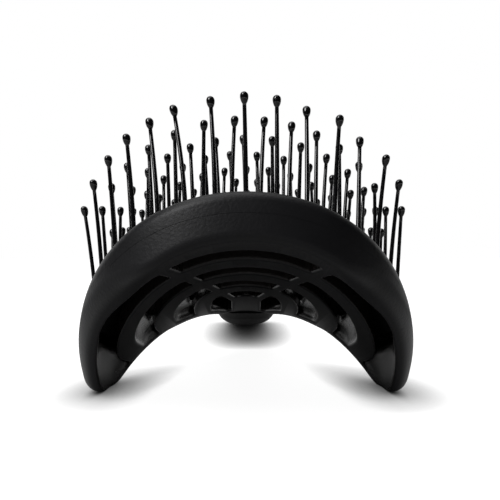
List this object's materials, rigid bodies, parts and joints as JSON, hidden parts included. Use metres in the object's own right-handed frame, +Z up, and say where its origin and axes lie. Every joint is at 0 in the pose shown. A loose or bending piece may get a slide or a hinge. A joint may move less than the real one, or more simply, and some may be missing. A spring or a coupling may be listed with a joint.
{
  "type": "vented arch hair brush",
  "caption": "Hair brush with an arched, vented two-part head, ball-tipped pins that rock in their seats, and a straight handle with a soft grip and a hanging hole.",
  "frame": {"origin": "on the floor under the middle of the bounding box, with the brush lying pins up", "axes": "+Z up, +Y from the head's front lip towards the handle, +X across the head"},
  "size_m": [0.082, 0.211, 0.0694],
  "materials": {
    "shell": "soft-touch matte black",
    "frame": "soft-touch matte black",
    "plate": "plain black moulding",
    "grip": "soft matte black",
    "pins": "glossy black nylon"
  },
  "bodies": {
    "brush": {"back_frame": "frame", "end_cap": "shell", "grip_sleeve": "grip", "handle_core": "shell", "pin_deck": "shell", "pin_retainer_plate": "plate"},
    "pin_column_01_body": {"pin_column_01": "pins"},
    "pin_column_02_body": {"pin_column_02": "pins"},
    "pin_column_03_body": {"pin_column_03": "pins"},
    "pin_column_04_body": {"pin_column_04": "pins"},
    "pin_column_05_body": {"pin_column_05": "pins"},
    "pin_column_06_body": {"pin_column_06": "pins"},
    "pin_column_07_body": {"pin_column_07": "pins"},
    "pin_column_08_body": {"pin_column_08": "pins"},
    "pin_column_09_body": {"pin_column_09": "pins"},
    "pin_column_10_body": {"pin_column_10": "pins"},
    "pin_column_11_body": {"pin_column_11": "pins"},
    "pin_column_12_body": {"pin_column_12": "pins"},
    "pin_column_13_body": {"pin_column_13": "pins"},
    "pin_column_14_body": {"pin_column_14": "pins"},
    "pin_column_15_body": {"pin_column_15": "pins"},
    "pin_column_16_body": {"pin_column_16": "pins"},
    "pin_column_17_body": {"pin_column_17": "pins"},
    "pin_column_18_body": {"pin_column_18": "pins"},
    "pin_column_19_body": {"pin_column_19": "pins"},
    "pin_column_20_body": {"pin_column_20": "pins"},
    "pin_column_21_body": {"pin_column_21": "pins"},
    "pin_column_22_body": {"pin_column_22": "pins"},
    "pin_column_23_body": {"pin_column_23": "pins"},
    "pin_column_24_body": {"pin_column_24": "pins"},
    "pin_column_25_body": {"pin_column_25": "pins"},
    "pin_column_26_body": {"pin_column_26": "pins"},
    "pin_column_27_body": {"pin_column_27": "pins"},
    "pin_column_28_body": {"pin_column_28": "pins"},
    "pin_column_29_body": {"pin_column_29": "pins"}
  },
  "joints": [
    {"name": "pin_column_01_rock", "type": "hinge", "parent": "brush", "child": "pin_column_01_body", "pos_m": [-0.03555, -0.05735, 0.01675], "axis": [0, 0.9781, -0.2079], "range_deg": [-4, 4], "stiffness_Nm_per_rad": 0.001},
    {"name": "pin_column_02_rock", "type": "hinge", "parent": "brush", "child": "pin_column_02_body", "pos_m": [-0.03402, -0.05687, 0.01902], "axis": [0, 0.9781, -0.2079], "range_deg": [-4, 4], "stiffness_Nm_per_rad": 0.001},
    {"name": "pin_column_03_rock", "type": "hinge", "parent": "brush", "child": "pin_column_03_body", "pos_m": [-0.03228, -0.05641, 0.02119], "axis": [0, 0.9781, -0.2079], "range_deg": [-4, 4], "stiffness_Nm_per_rad": 0.001},
    {"name": "pin_column_04_rock", "type": "hinge", "parent": "brush", "child": "pin_column_04_body", "pos_m": [-0.03034, -0.05597, 0.02323], "axis": [0, 0.9781, -0.2079], "range_deg": [-4, 4], "stiffness_Nm_per_rad": 0.001},
    {"name": "pin_column_05_rock", "type": "hinge", "parent": "brush", "child": "pin_column_05_body", "pos_m": [-0.02821, -0.05557, 0.02514], "axis": [0, 0.9781, -0.2079], "range_deg": [-4, 4], "stiffness_Nm_per_rad": 0.001},
    {"name": "pin_column_06_rock", "type": "hinge", "parent": "brush", "child": "pin_column_06_body", "pos_m": [-0.02591, -0.05519, 0.02691], "axis": [0, 0.9781, -0.2079], "range_deg": [-4, 4], "stiffness_Nm_per_rad": 0.001},
    {"name": "pin_column_07_rock", "type": "hinge", "parent": "brush", "child": "pin_column_07_body", "pos_m": [-0.02345, -0.05485, 0.02852], "axis": [0, 0.9781, -0.2079], "range_deg": [-4, 4], "stiffness_Nm_per_rad": 0.001},
    {"name": "pin_column_08_rock", "type": "hinge", "parent": "brush", "child": "pin_column_08_body", "pos_m": [-0.02085, -0.05454, 0.02997], "axis": [0, 0.9781, -0.2079], "range_deg": [-4, 4], "stiffness_Nm_per_rad": 0.001},
    {"name": "pin_column_09_rock", "type": "hinge", "parent": "brush", "child": "pin_column_09_body", "pos_m": [-0.01811, -0.05427, 0.03124], "axis": [0, 0.9781, -0.2079], "range_deg": [-4, 4], "stiffness_Nm_per_rad": 0.001},
    {"name": "pin_column_10_rock", "type": "hinge", "parent": "brush", "child": "pin_column_10_body", "pos_m": [-0.01527, -0.05404, 0.03233], "axis": [0, 0.9781, -0.2079], "range_deg": [-4, 4], "stiffness_Nm_per_rad": 0.001},
    {"name": "pin_column_11_rock", "type": "hinge", "parent": "brush", "child": "pin_column_11_body", "pos_m": [-0.01233, -0.05385, 0.03323], "axis": [0, 0.9781, -0.2079], "range_deg": [-4, 4], "stiffness_Nm_per_rad": 0.001},
    {"name": "pin_column_12_rock", "type": "hinge", "parent": "brush", "child": "pin_column_12_body", "pos_m": [-0.00931, -0.0537, 0.03394], "axis": [0, 0.9781, -0.2079], "range_deg": [-4, 4], "stiffness_Nm_per_rad": 0.001},
    {"name": "pin_column_13_rock", "type": "hinge", "parent": "brush", "child": "pin_column_13_body", "pos_m": [-0.00624, -0.05359, 0.03445], "axis": [0, 0.9781, -0.2079], "range_deg": [-4, 4], "stiffness_Nm_per_rad": 0.001},
    {"name": "pin_column_14_rock", "type": "hinge", "parent": "brush", "child": "pin_column_14_body", "pos_m": [-0.00313, -0.05352, 0.03475], "axis": [0, 0.9781, -0.2079], "range_deg": [-4, 4], "stiffness_Nm_per_rad": 0.001},
    {"name": "pin_column_15_rock", "type": "hinge", "parent": "brush", "child": "pin_column_15_body", "pos_m": [0, -0.0535, 0.03486], "axis": [0, 0.9781, -0.2079], "range_deg": [-4, 4], "stiffness_Nm_per_rad": 0.001},
    {"name": "pin_column_16_rock", "type": "hinge", "parent": "brush", "child": "pin_column_16_body", "pos_m": [0.00313, -0.05352, 0.03475], "axis": [0, 0.9781, -0.2079], "range_deg": [-4, 4], "stiffness_Nm_per_rad": 0.001},
    {"name": "pin_column_17_rock", "type": "hinge", "parent": "brush", "child": "pin_column_17_body", "pos_m": [0.00624, -0.05359, 0.03445], "axis": [0, 0.9781, -0.2079], "range_deg": [-4, 4], "stiffness_Nm_per_rad": 0.001},
    {"name": "pin_column_18_rock", "type": "hinge", "parent": "brush", "child": "pin_column_18_body", "pos_m": [0.00931, -0.0537, 0.03394], "axis": [0, 0.9781, -0.2079], "range_deg": [-4, 4], "stiffness_Nm_per_rad": 0.001},
    {"name": "pin_column_19_rock", "type": "hinge", "parent": "brush", "child": "pin_column_19_body", "pos_m": [0.01233, -0.05385, 0.03323], "axis": [0, 0.9781, -0.2079], "range_deg": [-4, 4], "stiffness_Nm_per_rad": 0.001},
    {"name": "pin_column_20_rock", "type": "hinge", "parent": "brush", "child": "pin_column_20_body", "pos_m": [0.01527, -0.05404, 0.03233], "axis": [0, 0.9781, -0.2079], "range_deg": [-4, 4], "stiffness_Nm_per_rad": 0.001},
    {"name": "pin_column_21_rock", "type": "hinge", "parent": "brush", "child": "pin_column_21_body", "pos_m": [0.01811, -0.05427, 0.03124], "axis": [0, 0.9781, -0.2079], "range_deg": [-4, 4], "stiffness_Nm_per_rad": 0.001},
    {"name": "pin_column_22_rock", "type": "hinge", "parent": "brush", "child": "pin_column_22_body", "pos_m": [0.02085, -0.05454, 0.02997], "axis": [0, 0.9781, -0.2079], "range_deg": [-4, 4], "stiffness_Nm_per_rad": 0.001},
    {"name": "pin_column_23_rock", "type": "hinge", "parent": "brush", "child": "pin_column_23_body", "pos_m": [0.02345, -0.05485, 0.02852], "axis": [0, 0.9781, -0.2079], "range_deg": [-4, 4], "stiffness_Nm_per_rad": 0.001},
    {"name": "pin_column_24_rock", "type": "hinge", "parent": "brush", "child": "pin_column_24_body", "pos_m": [0.02591, -0.05519, 0.02691], "axis": [0, 0.9781, -0.2079], "range_deg": [-4, 4], "stiffness_Nm_per_rad": 0.001},
    {"name": "pin_column_25_rock", "type": "hinge", "parent": "brush", "child": "pin_column_25_body", "pos_m": [0.02821, -0.05557, 0.02514], "axis": [0, 0.9781, -0.2079], "range_deg": [-4, 4], "stiffness_Nm_per_rad": 0.001},
    {"name": "pin_column_26_rock", "type": "hinge", "parent": "brush", "child": "pin_column_26_body", "pos_m": [0.03034, -0.05597, 0.02323], "axis": [0, 0.9781, -0.2079], "range_deg": [-4, 4], "stiffness_Nm_per_rad": 0.001},
    {"name": "pin_column_27_rock", "type": "hinge", "parent": "brush", "child": "pin_column_27_body", "pos_m": [0.03228, -0.05641, 0.02119], "axis": [0, 0.9781, -0.2079], "range_deg": [-4, 4], "stiffness_Nm_per_rad": 0.001},
    {"name": "pin_column_28_rock", "type": "hinge", "parent": "brush", "child": "pin_column_28_body", "pos_m": [0.03402, -0.05687, 0.01902], "axis": [0, 0.9781, -0.2079], "range_deg": [-4, 4], "stiffness_Nm_per_rad": 0.001},
    {"name": "pin_column_29_rock", "type": "hinge", "parent": "brush", "child": "pin_column_29_body", "pos_m": [0.03555, -0.05735, 0.01675], "axis": [0, 0.9781, -0.2079], "range_deg": [-4, 4], "stiffness_Nm_per_rad": 0.001}
  ]
}
